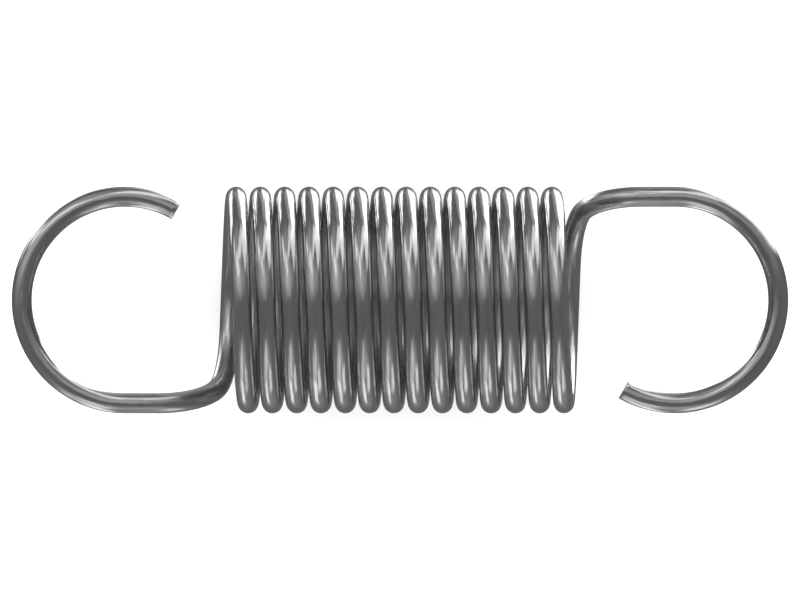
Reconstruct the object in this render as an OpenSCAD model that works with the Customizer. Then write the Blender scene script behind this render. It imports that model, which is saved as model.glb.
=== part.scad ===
// Extension spring: one length of round wire wound into an open coil, with an open round hook
// at each end. All sizes are in millimetres and all angles in degrees.
//
// The spring lies on its back, as it rests on a bench. X runs along the coil, Y across it in the
// plane of the two hooks, and Z is up from the bench. The origin is under the middle of the coil.
// Turning the spring half round about Z swaps its ends and leaves it looking the same.

/* [Wire] */
// thickness of the wire
wire_d = 2; // [1.6:0.1:2.2]

/* [Coil] */
// width over the outside of the coil
coil_od = 22.4; // [18:0.2:30]
// how many times the wire goes round between the two hooks
turns = 14; // [6:1:20]
// distance along the coil from one turn to the next, which must be more than the wire's thickness
pitch = 2.4; // [2.3:0.05:4]

/* [Hooks] */
// width over the outside of the round part of a hook
hook_od = 22.4; // [18:0.2:30]
// distance along the coil from its last turn to the middle of the hook's round part
hook_reach = 10.36; // [8:0.02:20]
// how far the wire stays on the coil past its last full turn before it swings out, in degrees
bend_from = 20; // [0:1:30]
// distance along the coil from its last turn to where the wire lies straight in the hooks' plane
bend_run = 7.1; // [6:0.1:8.5]
// how early the wire turns towards its straight: more makes a wider, gentler bend
bend_ease = 4.9; // [4:0.1:6]
// how far the open end goes on past the highest point of the hook
hook_past_top = 30; // [0:1:50]

/* [Hidden] */
wire_r = wire_d / 2;
coil_r = coil_od / 2 - wire_r;
hook_r = hook_od / 2 - wire_r;
half_coil = turns * pitch / 2;
hook_x = half_coil + hook_reach;

// the coil is drawn in steps of about half a turn, each of two equal arcs that run smoothly
// into each other
steps = 2 * turns;
step = (360 * turns + 2 * bend_from) / steps;
slope = atan(pitch / (2 * PI * coil_r));

// Two arcs in different planes only touch where they meet. A hair's breadth is left between them
// and a short peg inside the wire bridges it, which makes the whole wire one solid.
hair = 0.002;
peg_r = wire_r - 0.01;
peg_l = 0.2;

steel = [0.72, 0.73, 0.75];

function unit(v) = v / norm(v);

// the middle of the wire, and the way it runs, at angle t along the coil from its left end,
// where it lies at the back of the coil
function coil_at(t) = [t / 360 * pitch - half_coil, coil_r * sin(t), -coil_r * cos(t)];
function coil_way(t) = [sin(slope), cos(slope) * cos(t), cos(slope) * sin(t)];

// leg for two equal arcs that join point p, way u, to point q, way v
function equal_leg(p, u, q, v) =
    let (d = q - p, s = u + v, k = 2 - 2 * (u * v))
    (sqrt(pow(d * s, 2) + k * (d * d)) - d * s) / k;

// leg of the first arc when the second has leg b
function first_leg(p, u, q, v, b) =
    let (d = q - b * v - p)
    (d * d - b * b) / (2 * (d * u + b));

// moves what is drawn about the origin to point p, with its X, Y and Z turned to a, b and c
module stand(p, a, b, c) {
    multmatrix([[a[0], b[0], c[0], p[0]],
                [a[1], b[1], c[1], p[1]],
                [a[2], b[2], c[2], p[2]]])
        children();
}

// the peg inside the wire at point p, where the wire runs along u
module peg(p, u) {
    a = unit(cross(u, abs(u[0]) > 0.9 ? [0, 1, 0] : [1, 0, 0]));
    stand(p, a, cross(u, a), u) cylinder(r = peg_r, h = peg_l, center = true);
}

// an arc of wire that leaves point p along u and ends running along v; its tangents meet after leg
module bend(p, u, v, leg) {
    turn = acos(u * v);
    r = leg / tan(turn / 2);
    side = unit(v - (u * v) * u);
    trim = hair / 2 / r * 180 / PI;
    stand(p + r * side, -side, u, cross(u, side))
        rotate([0, 0, trim])
            rotate_extrude(angle = turn - 2 * trim)
                translate([r, 0]) circle(r = wire_r);
}

// two arcs, with legs a and b, that carry the wire from point p, way u, to point q, way v
module swing(p, u, q, v, a, b) {
    way = unit((q - b * v) - (p + a * u));
    bend(p, u, way, a);
    peg(p + a * (u + way), way);
    bend(p + a * (u + way), way, v, b);
}

module coil() {
    leg = equal_leg(coil_at(0), coil_way(0), coil_at(step), coil_way(step));
    for (i = [0 : steps - 1]) {
        t = i * step - bend_from;
        swing(coil_at(t), coil_way(t), coil_at(t + step), coil_way(t + step), leg, leg);
        peg(coil_at(t), coil_way(t));
    }
}

// the left hook: bend out of the coil, straight along the bottom, then round to the open end
module hook() {
    flat = [-half_coil - bend_run, -hook_r, 0];
    out = [-1, 0, 0];
    last = coil_at(-bend_from);
    back = -coil_way(-bend_from);
    trim = hair / 2 / hook_r * 180 / PI;
    swing(last, back, flat, out, first_leg(last, back, flat, out, bend_ease), bend_ease);
    peg(flat, out);
    translate(flat + hair / 2 * out) rotate([0, -90, 0])
        cylinder(r = wire_r, h = hook_reach - bend_run - hair);
    peg([-hook_x, -hook_r, 0], out);
    translate([-hook_x, 0, 0]) rotate([0, 0, 90 - hook_past_top])
        rotate_extrude(angle = 180 + hook_past_top - trim)
            translate([hook_r, 0]) circle(r = wire_r);
}

module spring() {
    color(steel) translate([0, 0, coil_od / 2]) {
        coil();
        hook();
        rotate([0, 0, 180]) {
            peg(coil_at(-bend_from), coil_way(-bend_from));
            hook();
        }
    }
}

$fn = 64;
spring();
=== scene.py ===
import math

import bmesh
import bpy
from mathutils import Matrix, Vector, noise


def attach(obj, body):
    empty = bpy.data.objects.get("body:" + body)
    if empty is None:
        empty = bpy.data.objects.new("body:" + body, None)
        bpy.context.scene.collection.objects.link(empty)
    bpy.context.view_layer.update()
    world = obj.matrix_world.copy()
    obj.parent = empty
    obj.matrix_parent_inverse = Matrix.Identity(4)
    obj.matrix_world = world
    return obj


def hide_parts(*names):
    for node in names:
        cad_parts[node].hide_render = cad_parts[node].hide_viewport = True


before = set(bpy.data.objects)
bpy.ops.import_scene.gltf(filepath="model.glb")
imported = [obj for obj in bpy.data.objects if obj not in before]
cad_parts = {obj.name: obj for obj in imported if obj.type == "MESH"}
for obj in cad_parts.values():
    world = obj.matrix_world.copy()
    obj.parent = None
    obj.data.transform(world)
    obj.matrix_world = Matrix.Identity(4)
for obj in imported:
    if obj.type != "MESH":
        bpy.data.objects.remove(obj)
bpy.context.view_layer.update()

# An extension spring wound from one length of bright drawn spring wire, with an open
# full-loop hook bent out at each end. It lies on its side on a white table.
# Lengths in this script are millimetres until MM turns them into metres.
MM = 0.001

# ---------------------------------------------------------------- the wire's route
WIRE_R = 1.0  # half of the 2 mm wire
COIL_R = 10.2  # from the spring's axis to the middle of the wire
PITCH = 2.4  # from one turn to the next
TURNS = 14
COIL_END = TURNS * PITCH / 2  # from the middle of the spring to the end of its last full turn
AXIS_Z = COIL_R + WIRE_R  # the axis, with the coil resting on the table
BEND_FROM = 20  # degrees past the last full turn where the wire leaves the coil
BEND_RUN = 7.1  # from the end of the coil out to the middle of the hook's shank
BEND_EASE = 4.9  # leg of the arc that turns the wire onto the hook's shank
HOOK_R = 10.2  # from the middle of a hook's round part to the middle of the wire
HOOK_REACH = 10.36  # from the end of the coil out to the middle of the hook's round part
HOOK_X = COIL_END + HOOK_REACH
HOOK_SWEEP = 210  # degrees of the hook's round part, from the shank to the tip

# ---------------------------------------------------------------- how finely it is drawn
SIDES = 44  # facets round the wire
COIL_STEP = 4  # degrees of coil between rings
HOOK_STEP = 2.5  # degrees of hook between rings
BEND_RINGS = 14  # in each of a bend's two arcs
SHANK_RINGS = 3
CUT_RINGS = (0.0, 0.3, 0.6, 0.84)  # rings across the face of a cut, as shares of the wire's radius
UV_ROWS = 12  # rows of wire in the texture's square
UV_GAP = 0.06  # share of a row left free between rows
UV_EDGE = 0.01  # share of the square left free at each end of a row
SAME_PLACE = 0.001  # mm: points nearer than this are one

# ---------------------------------------------------------------- marks of making
COIL_FADE = 2.0  # mm along the spring, over which the marks of coiling fade at each end
OUTER_TRACK = 3  # power that narrows the coiling point's track round the outside of the wire
INNER_TRACK = 0.5  # power that widens the arbor's
SCUFF_FROM, SCUFF_TO = 38.0, 58.0  # mm from a tip: the stretch that the loop tool grips
SCUFF_FADE = 3.0  # mm of wire over which the scuffs fade
EDGE_BREAK = 0.07  # the blade leaves this much of a rounded edge on the tips
CUT_SINK, CUT_DRAG, CUT_TORN = 0.012, 0.03, 0.02  # how far a cut sinks in, is dragged and torn
CUT_LUMP = 0.48  # how wide the torn lumps of a cut are
CUT_GRAIN = 0.1  # how wide the grains on its torn side are
CUT_GRAIN_LONG = 0.4  # and how long, along the wire
BLADE_WAY = Vector((0.64, 0.48, -0.6))  # the side of a cut that the blade drags in
# Noise on the straightened wire: grains so many mm wide and so many mm long, then the noise's
# detail and roughness. Real die lines are under 0.05 mm wide and a real wire wavers less. Both
# are coarser here so that they show.
DRAWN_MARKS = {
    "lines": (0.16, 11.0, 4.0, 0.6),
    "broad": (0.55, 26.0, 2.0, 0.55),
    "smudge": (1.6, 5.0, 3.0, 0.55),
    "grain": (0.12, 0.5, 2.0, 0.55),
    "waver": (0.6, 6.0, 3.0, 0.6),
}

# ---------------------------------------------------------------- how it is seen
LENS = 1000.0
SENSOR = 36.0
VIEW_WIDTH = 79.01  # mm across the view, at the height of the spring's axis
TABLE_LIGHT = 1.9  # the even white that lights the table, and that the camera sees past it
TABLE_HALF = 3000.0  # half the table's side
ROOM = 0.162  # what the wire mirrors of the room between the soft boxes


def coil_at(t):
    """The middle of the wire t radians round the coil from its left end."""
    x = t / math.tau * PITCH - COIL_END
    return Vector((x, COIL_R * math.sin(t), -COIL_R * math.cos(t)))


def coil_way(t):
    """The wire's heading t radians round the coil."""
    climb = math.atan(PITCH / (math.tau * COIL_R))
    level = math.cos(climb)
    return Vector((math.sin(climb), level * math.cos(t), level * math.sin(t)))


def arc(start, heading, leg, way, rings):
    """A bend that leaves start along heading and ends along way, leg past its corner."""
    turn = heading.angle(way)
    radius = leg / math.tan(turn / 2)
    aside = (way - heading * math.cos(turn)).normalized()
    found = []
    for i in range(1, rings + 1):
        a = turn * i / rings
        place = start + heading * radius * math.sin(a) + aside * radius * (1 - math.cos(a))
        found.append((place, heading * math.cos(a) + aside * math.sin(a)))
    return found


def hook_route():
    """The left hook from the coil's end out to its tip, as places and headings."""
    t = -math.radians(BEND_FROM)
    start, heading = coil_at(t), -coil_way(t)
    shank = Vector((-1, 0, 0))
    meets = Vector((-COIL_END - BEND_RUN, -COIL_R, 0))
    gap = meets - shank * BEND_EASE - start
    leg = (gap.dot(gap) - BEND_EASE**2) / (2 * (gap.dot(heading) + BEND_EASE))
    between = (meets - shank * BEND_EASE - start - heading * leg).normalized()
    route = arc(start, heading, leg, between, BEND_RINGS)
    route += arc(route[-1][0], between, BEND_EASE, shank, BEND_RINGS)
    bottom = Vector((-HOOK_X, -HOOK_R, 0))
    for i in range(1, SHANK_RINGS + 1):
        route.append((meets.lerp(bottom, i / SHANK_RINGS), shank))
    rings = round(HOOK_SWEEP / HOOK_STEP)
    for i in range(1, rings + 1):
        a = math.radians(HOOK_SWEEP) * i / rings
        away = Vector((-math.sin(a), -math.cos(a), 0))
        route.append((Vector((-HOOK_X, 0, 0)) + away * HOOK_R, Vector((away.y, -away.x, 0))))
    return route


def wire_route():
    """The whole wire from the left tip to the right one, as places and headings."""
    out = hook_route()
    ends = math.radians(BEND_FROM)
    rings = round((TURNS * 360 + 2 * BEND_FROM) / COIL_STEP)
    full = TURNS * math.tau + 2 * ends
    coil = [(coil_at(full * i / rings - ends), coil_way(full * i / rings - ends))
            for i in range(rings + 1)]
    left = [(place, -way) for place, way in reversed(out)]
    right = [(Vector((-p.x, -p.y, p.z)), Vector((-w.x, -w.y, w.z))) for p, w in out]
    return left + coil + right


# ---------------------------------------------------------------- the wire as a mesh
def wire_rings(route):
    """For each place on the route: the place, its heading, two ways across and the run in mm."""
    rings, run, across = [], 0.0, None
    for i, (place, way) in enumerate(route):
        way = way.normalized()
        if i:
            run += (place - route[i - 1][0]).length
        across = Vector((0, 0, 1)) if across is None else across
        across = (across - way * across.dot(way)).normalized()
        rings.append((place, way, across, way.cross(across), run))
    return rings


def tip_rings(rings, at_start):
    """The rings of a sheared tip: across its cut face, and then round its broken edge."""
    place, way, across, aside, run = rings[0] if at_start else rings[-1]
    outward = -1 if at_start else 1
    steps = [(0.0, wide) for wide in CUT_RINGS]
    for a in (0, math.pi / 4, math.pi / 2):
        steps.append((EDGE_BREAK * (1 - math.cos(a)), 1 - EDGE_BREAK * (1 - math.sin(a))))
    made = []
    for back, wide in steps:
        along = place - way * outward * back
        made.append((along, way, across, aside, run - outward * back, wide))
    return made if at_start else made[::-1]


def wear_at(out, place, from_tip):
    """What making the spring has done to the skin: rubbed outside, rubbed inside, scuffed.

    out is the way the skin faces, place the middle of the wire there, and from_tip the length
    of wire from there to the nearer tip."""
    on_coil = min(1.0, max(0.0, (COIL_END - abs(place.x)) / COIL_FADE + 0.5))
    facing = out.dot(Vector((0, place.y, place.z)).normalized())
    outside = on_coil * max(0.0, facing) ** OUTER_TRACK
    inside = on_coil * max(0.0, -facing) ** INNER_TRACK
    past_ends = min(from_tip - SCUFF_FROM, SCUFF_TO - from_tip)
    scuffed = max(0.0, min(1.0, past_ends / SCUFF_FADE))
    return outside, inside, scuffed


def cut_dip(out, wide, way, facing):
    """How the cut face leaves its plane: it sinks in, and more where the blade drags it."""
    torn = noise.noise(Vector((out.x, out.y, 0)) * wide / CUT_LUMP + Vector((0, 0, facing)))
    drag = CUT_DRAG * max(0.0, wide * out.dot(BLADE_WAY))
    return way * -facing * (CUT_SINK + drag + CUT_TORN * torn)


def build_wire():
    """The whole spring as one closed tube with sheared ends."""
    rings = wire_rings(wire_route())
    body = [(*ring, 1.0) for ring in rings[1:-1]]
    tips = tip_rings(rings, True), tip_rings(rings, False)
    every = tips[0] + body + tips[1]
    last = len(every) - 1
    *_, whole = rings[-1]
    verts, places, wear = [], [], []
    for i, (place, way, across, aside, run, wide) in enumerate(every):
        facing = 1 if i > last / 2 else -1
        for k in range(SIDES):
            a = math.tau * k / SIDES
            out = across * math.cos(a) + aside * math.sin(a)
            spot = place + out * WIRE_R * wide
            if wide < 1 - EDGE_BREAK / 2:  # on the face of the cut
                spot += cut_dip(out, wide, way, facing)
            verts.append(spot + Vector((0, 0, AXIS_Z)))
            places += (math.cos(a) * wide, math.sin(a) * wide, run)
            wear += wear_at(out, place, min(run, whole - run))
    faces = []
    for i in range(last):
        for k in range(SIDES):
            a, b = i * SIDES + k, i * SIDES + (k + 1) % SIDES
            faces.append((a, b, b + SIDES, a + SIDES))
    mesh = bpy.data.meshes.new("spring_wire")
    mesh.from_pydata([v * MM for v in verts], [], faces)
    for name, values in (("wire_place", places), ("wire_wear", wear)):
        mesh.attributes.new(name, "FLOAT_VECTOR", "POINT").data.foreach_set("vector", values)
    lay_out(mesh, every)
    for polygon in mesh.polygons:
        ring = polygon.index // SIDES
        polygon.use_smooth = True
        polygon.material_index = int(ring < len(CUT_RINGS) or ring >= last - len(CUT_RINGS))
    close_cuts(mesh)
    return mesh


def close_cuts(mesh):
    """Draws the innermost ring of each cut together into one point."""
    shape = bmesh.new()
    shape.from_mesh(mesh)
    bmesh.ops.remove_doubles(shape, verts=shape.verts, dist=SAME_PLACE * MM)
    shape.to_mesh(mesh)
    shape.free()


def lay_out(mesh, every):
    """Lays the straightened wire out in rows, so that a texture spends itself evenly on it."""
    layer = mesh.uv_layers.new(name="OFBake")
    over_skin = [0.0]
    for (*_, run, wide), (*_, next_run, next_wide) in zip(every, every[1:]):
        step = math.hypot(next_run - run, (next_wide - wide) * WIRE_R)
        over_skin.append(over_skin[-1] + step)
    row_length = over_skin[-1] / UV_ROWS
    uv = [0.0] * (2 * len(mesh.loops))
    for polygon in mesh.polygons:
        ring, k = divmod(polygon.index, SIDES)
        row = min(UV_ROWS - 1, int((over_skin[ring] + over_skin[ring + 1]) / 2 / row_length))
        for corner, loop in enumerate(polygon.loop_indices):
            run = over_skin[ring + (corner > 1)] - row * row_length
            turn = (k + (corner in (1, 2))) / SIDES
            uv[2 * loop] = UV_EDGE + (1 - 2 * UV_EDGE) * run / row_length
            uv[2 * loop + 1] = (row + UV_GAP / 2 + (1 - UV_GAP) * turn) / UV_ROWS
    layer.data.foreach_set("uv", uv)


# ---------------------------------------------------------------- finishes
def linear(hex_colour):
    """An sRGB hex colour as the linear RGBA that the shaders take."""
    parts = [int(hex_colour[i:i + 2], 16) / 255 for i in (0, 2, 4)]
    return (*[c / 12.92 if c <= 0.04045 else ((c + 0.055) / 1.055) ** 2.4 for c in parts], 1)


def add(tree, kind, inputs=(), **settings):
    """Adds a node. inputs are values or outputs, listed in order or named by their socket."""
    made = tree.nodes.new(kind)
    for name, value in settings.items():
        setattr(made, name, value)
    for name, value in inputs.items() if isinstance(inputs, dict) else enumerate(inputs):
        if isinstance(value, bpy.types.NodeSocket):
            tree.links.new(value, made.inputs[name])
        else:
            made.inputs[name].default_value = value
    return made


def finish_of(name):
    """An empty material and its tree, with the shader that it ends in."""
    material = bpy.data.materials.new(name)
    material.use_nodes = True
    tree = material.node_tree
    tree.nodes.clear()
    shader = add(tree, "ShaderNodeBsdfPrincipled")
    add(tree, "ShaderNodeOutputMaterial", {"Surface": shader.outputs[0]})
    return material, tree, shader


def bright_drawn_spring_steel():
    # Hard drawn wire, pulled bright through a polished die. The die leaves fine lines along
    # the wire, which break the long highlights up a little. The coiling point leaves a faintly
    # duller track on the outside of the turns and the arbor one on the inside, the loop tool
    # scuffs the bends, and handling leaves faint smudges.
    material, tree, steel = finish_of("bright_drawn_spring_steel")
    where = add(tree, "ShaderNodeAttribute", attribute_name="wire_place").outputs["Vector"]
    wear = add(tree, "ShaderNodeAttribute", attribute_name="wire_wear").outputs["Vector"]
    inside = add(tree, "ShaderNodeSeparateXYZ", [wear]).outputs["Y"]
    marks = {}
    for name, (across, along, detail, rough) in DRAWN_MARKS.items():
        scaled = add(tree, "ShaderNodeVectorMath", [where, (1 / across, 1 / across, 1 / along)],
                     operation="MULTIPLY")
        marks[name] = add(tree, "ShaderNodeTexNoise", {
            "Vector": scaled.outputs[0], "Scale": 1.0, "Detail": detail, "Roughness": rough,
        }).outputs["Fac"]
    # Tone: clean steel, a shade darker where drawing soap has stayed in the lines.
    soap = add(tree, "ShaderNodeMapRange", [marks["broad"], 0.40, 0.75, 0.0, 0.55],
               interpolation_type="SMOOTHSTEP")
    film = add(tree, "ShaderNodeMapRange", [marks["smudge"], 0.42, 0.72, 0.0, 0.45],
               interpolation_type="SMOOTHSTEP")
    shade = add(tree, "ShaderNodeMath", [soap.outputs[0], film.outputs[0]], operation="ADD")
    tone = add(tree, "ShaderNodeMix", {
        "Factor": shade.outputs[0], "A": linear("CFCFD0"), "B": linear("B8B8BA"),
    }, data_type="RGBA")
    tree.links.new(tone.outputs["Result"], steel.inputs["Base Color"])
    # Roughness: bright overall, duller in the lines and smudges, and where tools have rubbed:
    # a little outside the coil, more inside it and at the bends.
    fine = add(tree, "ShaderNodeMapRange", [marks["lines"], 0.35, 0.75, 0.085, 0.145],
               interpolation_type="SMOOTHSTEP")
    touched = add(tree, "ShaderNodeMapRange", [marks["smudge"], 0.50, 0.80, 0.0, 0.055],
                  interpolation_type="SMOOTHSTEP")
    rubbed = add(tree, "ShaderNodeVectorMath", [wear, (0.030, 0.100, 0.110)],
                 operation="DOT_PRODUCT")
    dull = add(tree, "ShaderNodeMath", [fine.outputs[0], touched.outputs[0]], operation="ADD")
    dull = add(tree, "ShaderNodeMath", [dull.outputs[0], rubbed.outputs["Value"]], operation="ADD")
    tree.links.new(dull.outputs[0], steel.inputs["Roughness"])
    steel.inputs["Metallic"].default_value = 1.0
    # Relief: the die lines, a light waver of the skin and a trace of grain. The arbor has
    # pressed them nearly flat inside the coil.
    relief = add(tree, "ShaderNodeMath", [marks["broad"], 3.0, marks["lines"]],
                 operation="MULTIPLY_ADD")
    relief = add(tree, "ShaderNodeMath", [marks["grain"], 0.08, relief.outputs[0]],
                 operation="MULTIPLY_ADD")
    relief = add(tree, "ShaderNodeMath", [marks["waver"], 10.0, relief.outputs[0]],
                 operation="MULTIPLY_ADD")
    strength = add(tree, "ShaderNodeMath", [inside, -0.85, 1.0], operation="MULTIPLY_ADD")
    bump = add(tree, "ShaderNodeBump", {
        "Strength": strength.outputs[0], "Distance": 0.005 * MM, "Height": relief.outputs[0]})
    tree.links.new(bump.outputs[0], steel.inputs["Normal"])
    return material


def sheared_spring_steel():
    # The cut tips: one side is smeared bright by the blade, the other breaks off matt.
    material, tree, steel = finish_of("sheared_spring_steel")
    where = add(tree, "ShaderNodeAttribute", attribute_name="wire_place").outputs["Vector"]
    grains = (1 / CUT_GRAIN, 1 / CUT_GRAIN, 1 / CUT_GRAIN_LONG)
    scaled = add(tree, "ShaderNodeVectorMath", [where, grains], operation="MULTIPLY")
    torn = add(tree, "ShaderNodeTexNoise", {
        "Vector": scaled.outputs[0], "Scale": 1.0, "Detail": 4.0, "Roughness": 0.65,
    }).outputs["Fac"]
    # Across the cut, from the smeared side to the torn one, with a ragged border.
    side = add(tree, "ShaderNodeVectorMath", [where, (0.6, 0.8, 0.0)], operation="DOT_PRODUCT")
    edge = add(tree, "ShaderNodeMath", [torn, 0.5, side.outputs["Value"]],
               operation="MULTIPLY_ADD")
    matt = add(tree, "ShaderNodeMapRange", [edge.outputs[0], 0.10, 0.45, 0.0, 1.0],
               interpolation_type="SMOOTHSTEP")
    tone = add(tree, "ShaderNodeMix", {
        "Factor": matt.outputs[0], "A": linear("D6D6D7"), "B": linear("AFAFB1"),
    }, data_type="RGBA")
    tree.links.new(tone.outputs["Result"], steel.inputs["Base Color"])
    dull = add(tree, "ShaderNodeMath", [matt.outputs[0], 0.22, 0.27], operation="MULTIPLY_ADD")
    tree.links.new(dull.outputs[0], steel.inputs["Roughness"])
    steel.inputs["Metallic"].default_value = 1.0
    bump = add(tree, "ShaderNodeBump", {
        "Strength": 0.7, "Distance": 0.012 * MM, "Height": torn})
    tree.links.new(bump.outputs[0], steel.inputs["Normal"])
    return material


def white_table():
    # A matt white laminate, which scatters light evenly and shows no gloss.
    material, tree, top = finish_of("white_table_laminate")
    top.inputs["Base Color"].default_value = linear("F4F4F3")
    top.inputs["Roughness"].default_value = 0.9
    return material


# ---------------------------------------------------------------- the studio
# Soft boxes as the polished wire mirrors them. Angles are in degrees: how far down from
# straight overhead a box starts and ends, where its middle stands round the table from +X,
# half its width, how soft its edges are (down, then round), and how far it leans round for
# each degree down. The last number is its brightness.
# They are set for how the wire looks and aren't a studio that could be built: past 90
# they are below the table's level, where a real wire would mirror the table. The ceiling
# starts past overhead, so that it has no edge there.
BOXES = (
    ("tall window, back right, upper pane", 62, 99, 44, 16, 6, 5, 0.0, 0.95),
    ("tall window, back right, lower pane", 99, 157, 44, 17, 8, 5, 0.0, 2.6),
    ("low window, back right", 98, 154, 66, 11, 7, 7, 0.36, 2.0),
    ("sheet, right", 32, 58, 32, 14, 8, 8, 0.0, 0.11),
    ("strip, back", 44, 88, 77, 13, 5, 6, -0.8, 0.95),
    ("low sheet, back", 92, 146, 87, 9, 6, 6, 0.4, 0.24),
    ("sheet, back left", 30, 60, 127, 13, 5, 7, 0.4, 0.68),
    ("sheet, left", 32, 64, 158, 10, 8, 8, 0.0, 0.14),
    ("sheet, far left", 67, 92, 144, 6, 5, 5, 0.0, 0.95),
    ("low window, back left", 111, 154, 137, 11, 5, 5, -0.6, 1.95),
    ("low window, far back left", 132, 156, 143, 10, 6, 6, 0.0, 0.4),
    ("glow, back left", 18, 84, 136, 38, 12, 18, 0.0, 0.22),
    ("fill, front", 46, 90, 253, 9, 6, 6, 0.0, 0.56),
    ("fill, front high", 36, 72, 274, 13, 8, 8, 0.0, 0.15),
    ("fill, front low", 95, 131, 254, 8, 6, 5, 0.25, 1.05),
    ("fill, front left", 66, 118, 238, 4, 8, 5, 0.0, 0.40),
    ("fill, front right", 74, 108, 285, 9, 6, 6, -0.1, 0.78),
    ("glow, front", 54, 142, 264, 36, 14, 22, 0.0, 0.15),
    ("ceiling, back half", -20, 42, 96, 62, 14, 36, 0.0, 0.28),
)


def soft_box(tree, toward, down, start, end, stands, half, soft_down, soft_round, lean, strength):
    """How bright one soft box is in the direction toward, down degrees from overhead."""
    ahead = (math.cos(math.radians(stands)), math.sin(math.radians(stands)), 0)
    aside = (-ahead[1], ahead[0], 0)
    along = add(tree, "ShaderNodeVectorMath", [toward, ahead], operation="DOT_PRODUCT")
    over = add(tree, "ShaderNodeVectorMath", [toward, aside], operation="DOT_PRODUCT")
    turn = add(tree, "ShaderNodeMath", [over.outputs["Value"], along.outputs["Value"]],
               operation="ARCTAN2")
    turn = add(tree, "ShaderNodeMath", [turn.outputs[0]], operation="DEGREES")
    leant = add(tree, "ShaderNodeMath", [down, -lean, lean * (start + end) / 2],
                operation="MULTIPLY_ADD")
    off = add(tree, "ShaderNodeMath", [turn.outputs[0], leant.outputs[0]], operation="ADD")
    off = add(tree, "ShaderNodeMath", [off.outputs[0]], operation="ABSOLUTE").outputs[0]
    light = strength
    for value, middle, soft, before, after in ((off, half, soft_round, 1.0, 0.0),
                                               (down, start, soft_down, 0.0, 1.0),
                                               (down, end, soft_down, 1.0, 0.0)):
        fade = [value, middle - soft, middle + soft, before, after]
        edge = add(tree, "ShaderNodeMapRange", fade, interpolation_type="SMOOTHSTEP")
        light = add(tree, "ShaderNodeMath", [edge.outputs[0], light],
                    operation="MULTIPLY").outputs[0]
    return light


def studio():
    """The room's light. The wire mirrors the soft boxes. The table and camera see even white."""
    world = bpy.data.worlds.new("soft_studio")
    bpy.context.scene.world = world
    world.use_nodes = True
    tree = world.node_tree
    tree.nodes.clear()
    toward = add(tree, "ShaderNodeTexCoord").outputs["Generated"]
    height = add(tree, "ShaderNodeSeparateXYZ", [toward]).outputs["Z"]
    down = add(tree, "ShaderNodeMath", [height], operation="ARCCOSINE")
    down = add(tree, "ShaderNodeMath", [down.outputs[0]], operation="DEGREES").outputs[0]
    bright = ROOM
    for name, *box in BOXES:
        light = soft_box(tree, toward, down, *box)
        bright = add(tree, "ShaderNodeMath", [light, bright], label=name,
                     operation="ADD").outputs[0]
    ray = add(tree, "ShaderNodeLightPath")
    seen, scattered = ray.outputs["Is Camera Ray"], ray.outputs["Is Diffuse Ray"]
    plain = add(tree, "ShaderNodeMath", [seen, scattered], operation="MAXIMUM")
    level = add(tree, "ShaderNodeMix", {
        "Factor": plain.outputs[0], "A": bright, "B": TABLE_LIGHT}, data_type="FLOAT")
    shine = add(tree, "ShaderNodeBackground", {
        "Color": (1, 1, 1, 1), "Strength": level.outputs["Result"]})
    add(tree, "ShaderNodeOutputWorld", {"Surface": shine.outputs[0]})
    world.cycles.sampling_method = "NONE"  # a map of its bright parts would miss the even white


def table_top():
    half = TABLE_HALF * MM
    mesh = bpy.data.meshes.new("table_top")
    corners = [(-half, -half, 0), (half, -half, 0), (half, half, 0), (-half, half, 0)]
    mesh.from_pydata(corners, [], [(0, 1, 2, 3)])
    mesh.materials.append(white_table())
    top = bpy.data.objects.new("table_top", mesh)
    bpy.context.scene.collection.objects.link(top)
    top.visible_glossy = False  # the wire mirrors the soft boxes in its place


def camera():
    """Straight down on the spring, from far enough away to see no perspective."""
    data = bpy.data.cameras.new("camera")
    data.sensor_width, data.lens = SENSOR, LENS
    data.clip_start, data.clip_end = 0.1, 50.0  # metres
    made = bpy.data.objects.new("camera", data)
    made.location = (0, 0, AXIS_Z * MM + VIEW_WIDTH * MM * LENS / SENSOR)
    bpy.context.scene.collection.objects.link(made)
    bpy.context.scene.camera = made


camera()
studio()
table_top()
wire = bpy.data.objects.new("spring_wire", build_wire())
bpy.context.scene.collection.objects.link(wire)
wire.data.materials.append(bright_drawn_spring_steel())
wire.data.materials.append(sheared_spring_steel())
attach(wire, "root")
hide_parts("spring")

bpy.context.scene.view_settings.view_transform = "Standard"
